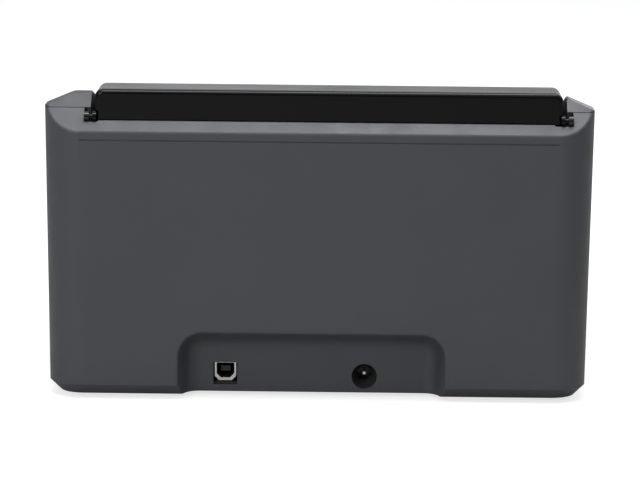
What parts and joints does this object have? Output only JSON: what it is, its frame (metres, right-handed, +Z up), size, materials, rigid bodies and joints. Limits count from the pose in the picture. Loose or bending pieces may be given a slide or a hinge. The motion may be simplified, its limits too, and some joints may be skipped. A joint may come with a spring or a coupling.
{
  "type": "document scanner",
  "caption": "Desktop sheet-fed document scanner with a fold-open input tray cover, opening front door, roller and gear train, and a pull-out output tray.",
  "frame": {"origin": "on the floor under the middle of the machine's width and depth", "axes": "+X across the width to the user's right, +Y to the rear with the ports, +Z up"},
  "size_m": [0.2992, 0.22, 0.169],
  "materials": {
    "rear_shell": "fine moulded texture, dark slate grey",
    "right_cheek": "fine moulded texture, dark slate grey",
    "left_cheek": "fine moulded texture, dark slate grey",
    "base_pan": "black, moulded",
    "rubber_feet": "soft matt rubber",
    "base_screws": "plated steel",
    "front_bezel": "satin black",
    "right_side_frame": "zinc plated sheet",
    "left_side_frame": "zinc plated sheet",
    "shaft_bushes": "sintered bronze",
    "paper_chute": "satin black",
    "upper_frame": "satin black",
    "upper_frame_lid": "satin black",
    "rear_scan_unit": "black",
    "rear_scan_glass": "clear float glass",
    "main_board": "green solder mask",
    "usb_socket": "plated steel",
    "usb_tongue": "black",
    "power_jack": "black",
    "power_jack_pin": "plated steel",
    "motor_can": "black coated steel",
    "hinge_brackets": "black",
    "cover_skin": "polished black",
    "cover_liner": "satin black",
    "guide_pinion": "natural acetal",
    "right_side_guide": "satin black",
    "left_side_guide": "satin black",
    "tray_extension": "satin black",
    "pick_shaft": "plated steel",
    "pick_tyre": "soft matt rubber",
    "pick_gear": "natural acetal",
    "separation_shaft": "plated steel",
    "separation_tyre": "soft matt rubber",
    "separation_gear": "natural acetal",
    "feed_shaft": "plated steel",
    "feed_tyres": "soft matt rubber",
    "feed_gear": "natural acetal",
    "exit_shaft": "plated steel",
    "exit_tyres": "soft matt rubber",
    "exit_gear": "natural acetal",
    "motor_pinion": "plated steel",
    "climb_gear": "natural acetal",
    "link_gear": "natural acetal",
    "long_gear": "natural acetal",
    "brake_roller": "grey rubber on a steel shaft",
    "paper_flag": "black",
    "door_panel": "polished black",
    "door_inner": "satin black",
    "front_scan_unit": "black",
    "front_scan_glass": "clear float glass",
    "switch_board": "green solder mask",
    "status_lights": "frosted clear",
    "feed_pinch_roller": "grey rubber on a steel shaft",
    "exit_pinch_roller": "grey rubber on a steel shaft",
    "power_button": "satin grey",
    "scan_button": "satin grey",
    "eject_button": "satin grey",
    "output_tray": "satin black",
    "output_extension": "satin black",
    "paper_stop": "satin black"
  },
  "bodies": {
    "base": {"rear_shell": "rear_shell", "right_cheek": "right_cheek", "left_cheek": "left_cheek", "base_pan": "base_pan", "rubber_feet": "rubber_feet", "base_screws": "base_screws", "front_bezel": "front_bezel", "right_side_frame": "right_side_frame", "left_side_frame": "left_side_frame", "shaft_bushes": "shaft_bushes", "paper_chute": "paper_chute", "upper_frame": "upper_frame", "upper_frame_lid": "upper_frame_lid", "rear_scan_unit": "rear_scan_unit", "rear_scan_glass": "rear_scan_glass", "main_board": "main_board", "usb_socket": "usb_socket", "usb_tongue": "usb_tongue", "power_jack": "power_jack", "power_jack_pin": "power_jack_pin", "motor_can": "motor_can", "hinge_brackets": "hinge_brackets"},
    "cover": {"cover_skin": "cover_skin", "cover_liner": "cover_liner"},
    "guide_pinion": {"guide_pinion": "guide_pinion"},
    "right_guide": {"right_side_guide": "right_side_guide"},
    "left_guide": {"left_side_guide": "left_side_guide"},
    "tray_extension": {"tray_extension": "tray_extension"},
    "pick_roller": {"pick_shaft": "pick_shaft", "pick_tyre": "pick_tyre", "pick_gear": "pick_gear"},
    "separation_roller": {"separation_shaft": "separation_shaft", "separation_tyre": "separation_tyre", "separation_gear": "separation_gear"},
    "feed_roller": {"feed_shaft": "feed_shaft", "feed_tyres": "feed_tyres", "feed_gear": "feed_gear"},
    "exit_roller": {"exit_shaft": "exit_shaft", "exit_tyres": "exit_tyres", "exit_gear": "exit_gear"},
    "motor_rotor": {"motor_pinion": "motor_pinion"},
    "climb_gear": {"climb_gear": "climb_gear"},
    "link_gear": {"link_gear": "link_gear"},
    "long_gear": {"long_gear": "long_gear"},
    "brake_roller": {"brake_roller": "brake_roller"},
    "paper_flag": {"paper_flag": "paper_flag"},
    "door": {"door_panel": "door_panel", "door_inner": "door_inner", "front_scan_unit": "front_scan_unit", "front_scan_glass": "front_scan_glass", "switch_board": "switch_board", "status_lights": "status_lights"},
    "feed_pinch_roller": {"feed_pinch_roller": "feed_pinch_roller"},
    "exit_pinch_roller": {"exit_pinch_roller": "exit_pinch_roller"},
    "power_button": {"power_button": "power_button"},
    "scan_button": {"scan_button": "scan_button"},
    "eject_button": {"eject_button": "eject_button"},
    "output_tray": {"output_tray": "output_tray"},
    "output_extension": {"output_extension": "output_extension"},
    "paper_stop": {"paper_stop": "paper_stop"}
  },
  "joints": [
    {"name": "cover_hinge", "type": "hinge", "parent": "base", "child": "cover", "pos_m": [-0.005, 0.1025, 0.1543], "axis": [-1, 0, 0], "range_deg": [0, 130]},
    {"name": "tray_extension_slide", "type": "slide", "parent": "cover", "child": "tray_extension", "axis": [0, -0.9917, -0.1284], "range_m": [0, 0.085]},
    {"name": "right_guide_slide", "type": "slide", "parent": "cover", "child": "right_guide", "axis": [-1, 0, 0], "range_m": [0, 0.0755]},
    {"name": "left_guide_slide", "type": "slide", "parent": "cover", "child": "left_guide", "axis": [1, 0, 0], "range_m": [0, 0.0755]},
    {"name": "guide_pinion_spin", "type": "hinge", "parent": "cover", "child": "guide_pinion", "pos_m": [-0.005, 0.07591, 0.14719], "axis": [0, -0.1284, 0.9917], "range_deg": [0, 541]},
    {"name": "door_hinge", "type": "hinge", "parent": "base", "child": "door", "pos_m": [-0.005, -0.102, 0.04], "axis": [1, 0, 0], "range_deg": [0, 75]},
    {"name": "feed_roller_spin", "type": "hinge", "parent": "base", "child": "feed_roller", "pos_m": [-0.005, -0.01035, 0.03661], "axis": [1, 0, 0], "continuous": true},
    {"name": "pick_roller_spin", "type": "hinge", "parent": "base", "child": "pick_roller", "pos_m": [-0.005, 0.08505, 0.11447], "axis": [1, 0, 0], "continuous": true},
    {"name": "separation_roller_spin", "type": "hinge", "parent": "base", "child": "separation_roller", "pos_m": [-0.005, 0.06458, 0.08246], "axis": [1, 0, 0], "continuous": true},
    {"name": "exit_roller_spin", "type": "hinge", "parent": "base", "child": "exit_roller", "pos_m": [-0.005, -0.08122, 0.02385], "axis": [1, 0, 0], "continuous": true},
    {"name": "motor_spin", "type": "hinge", "parent": "base", "child": "motor_rotor", "pos_m": [-0.005, 0.01157, 0.02685], "axis": [1, 0, 0], "continuous": true},
    {"name": "climb_gear_spin", "type": "hinge", "parent": "base", "child": "climb_gear", "pos_m": [-0.005, 0.02555, 0.06693], "axis": [1, 0, 0], "continuous": true},
    {"name": "link_gear_spin", "type": "hinge", "parent": "base", "child": "link_gear", "pos_m": [-0.005, 0.08235, 0.09364], "axis": [1, 0, 0], "continuous": true},
    {"name": "long_gear_spin", "type": "hinge", "parent": "base", "child": "long_gear", "pos_m": [-0.005, -0.05133, 0.03785], "axis": [1, 0, 0], "continuous": true},
    {"name": "brake_roller_spin", "type": "hinge", "parent": "base", "child": "brake_roller", "pos_m": [-0.005, 0.04824, 0.09291], "axis": [1, 0, 0], "continuous": true},
    {"name": "paper_flag_swing", "type": "hinge", "parent": "base", "child": "paper_flag", "pos_m": [-0.005, 0.07092, 0.09739], "axis": [1, 0, 0], "range_deg": [0, 40], "stiffness_Nm_per_rad": 0.002, "springref_deg": -20.05},
    {"name": "feed_pinch_spin", "type": "hinge", "parent": "door", "child": "feed_pinch_roller", "pos_m": [-0.005, -0.0131, 0.05074], "axis": [1, 0, 0], "continuous": true},
    {"name": "exit_pinch_spin", "type": "hinge", "parent": "door", "child": "exit_pinch_roller", "pos_m": [-0.005, -0.08368, 0.03651], "axis": [1, 0, 0], "continuous": true},
    {"name": "power_button_press", "type": "slide", "parent": "door", "child": "power_button", "axis": [0, 0.7888, -0.6146], "range_m": [0, 0.0008], "stiffness_N_per_m": 400, "springref_m": -0.0005},
    {"name": "scan_button_press", "type": "slide", "parent": "door", "child": "scan_button", "axis": [0, 0.7888, -0.6146], "range_m": [0, 0.0008], "stiffness_N_per_m": 400, "springref_m": -0.0005},
    {"name": "eject_button_press", "type": "slide", "parent": "door", "child": "eject_button", "axis": [0, 0.7888, -0.6146], "range_m": [0, 0.0008], "stiffness_N_per_m": 400, "springref_m": -0.0005},
    {"name": "output_tray_slide", "type": "slide", "parent": "base", "child": "output_tray", "axis": [0, -1, 0], "range_m": [0, 0.08]},
    {"name": "output_extension_slide", "type": "slide", "parent": "output_tray", "child": "output_extension", "axis": [0, -1, 0], "range_m": [0, 0.06]},
    {"name": "paper_stop_flip", "type": "hinge", "parent": "output_extension", "child": "paper_stop", "pos_m": [-0.005, -0.1088, 0.0132], "axis": [-1, 0, 0], "range_deg": [0, 170]}
  ],
  "couplings": [
    {"joint": "pick_roller_spin", "follows": "feed_roller_spin", "ratio": 1.3846},
    {"joint": "separation_roller_spin", "follows": "feed_roller_spin", "ratio": 1.3846},
    {"joint": "exit_roller_spin", "follows": "feed_roller_spin", "ratio": 1.8},
    {"joint": "motor_spin", "follows": "feed_roller_spin", "ratio": -3},
    {"joint": "climb_gear_spin", "follows": "feed_roller_spin", "ratio": -0.62069},
    {"joint": "link_gear_spin", "follows": "feed_roller_spin", "ratio": -2.25},
    {"joint": "long_gear_spin", "follows": "feed_roller_spin", "ratio": -0.78261},
    {"joint": "left_guide_slide", "follows": "right_guide_slide", "ratio": 1},
    {"joint": "guide_pinion_spin", "follows": "right_guide_slide", "rad_per_m": 125}
  ]
}
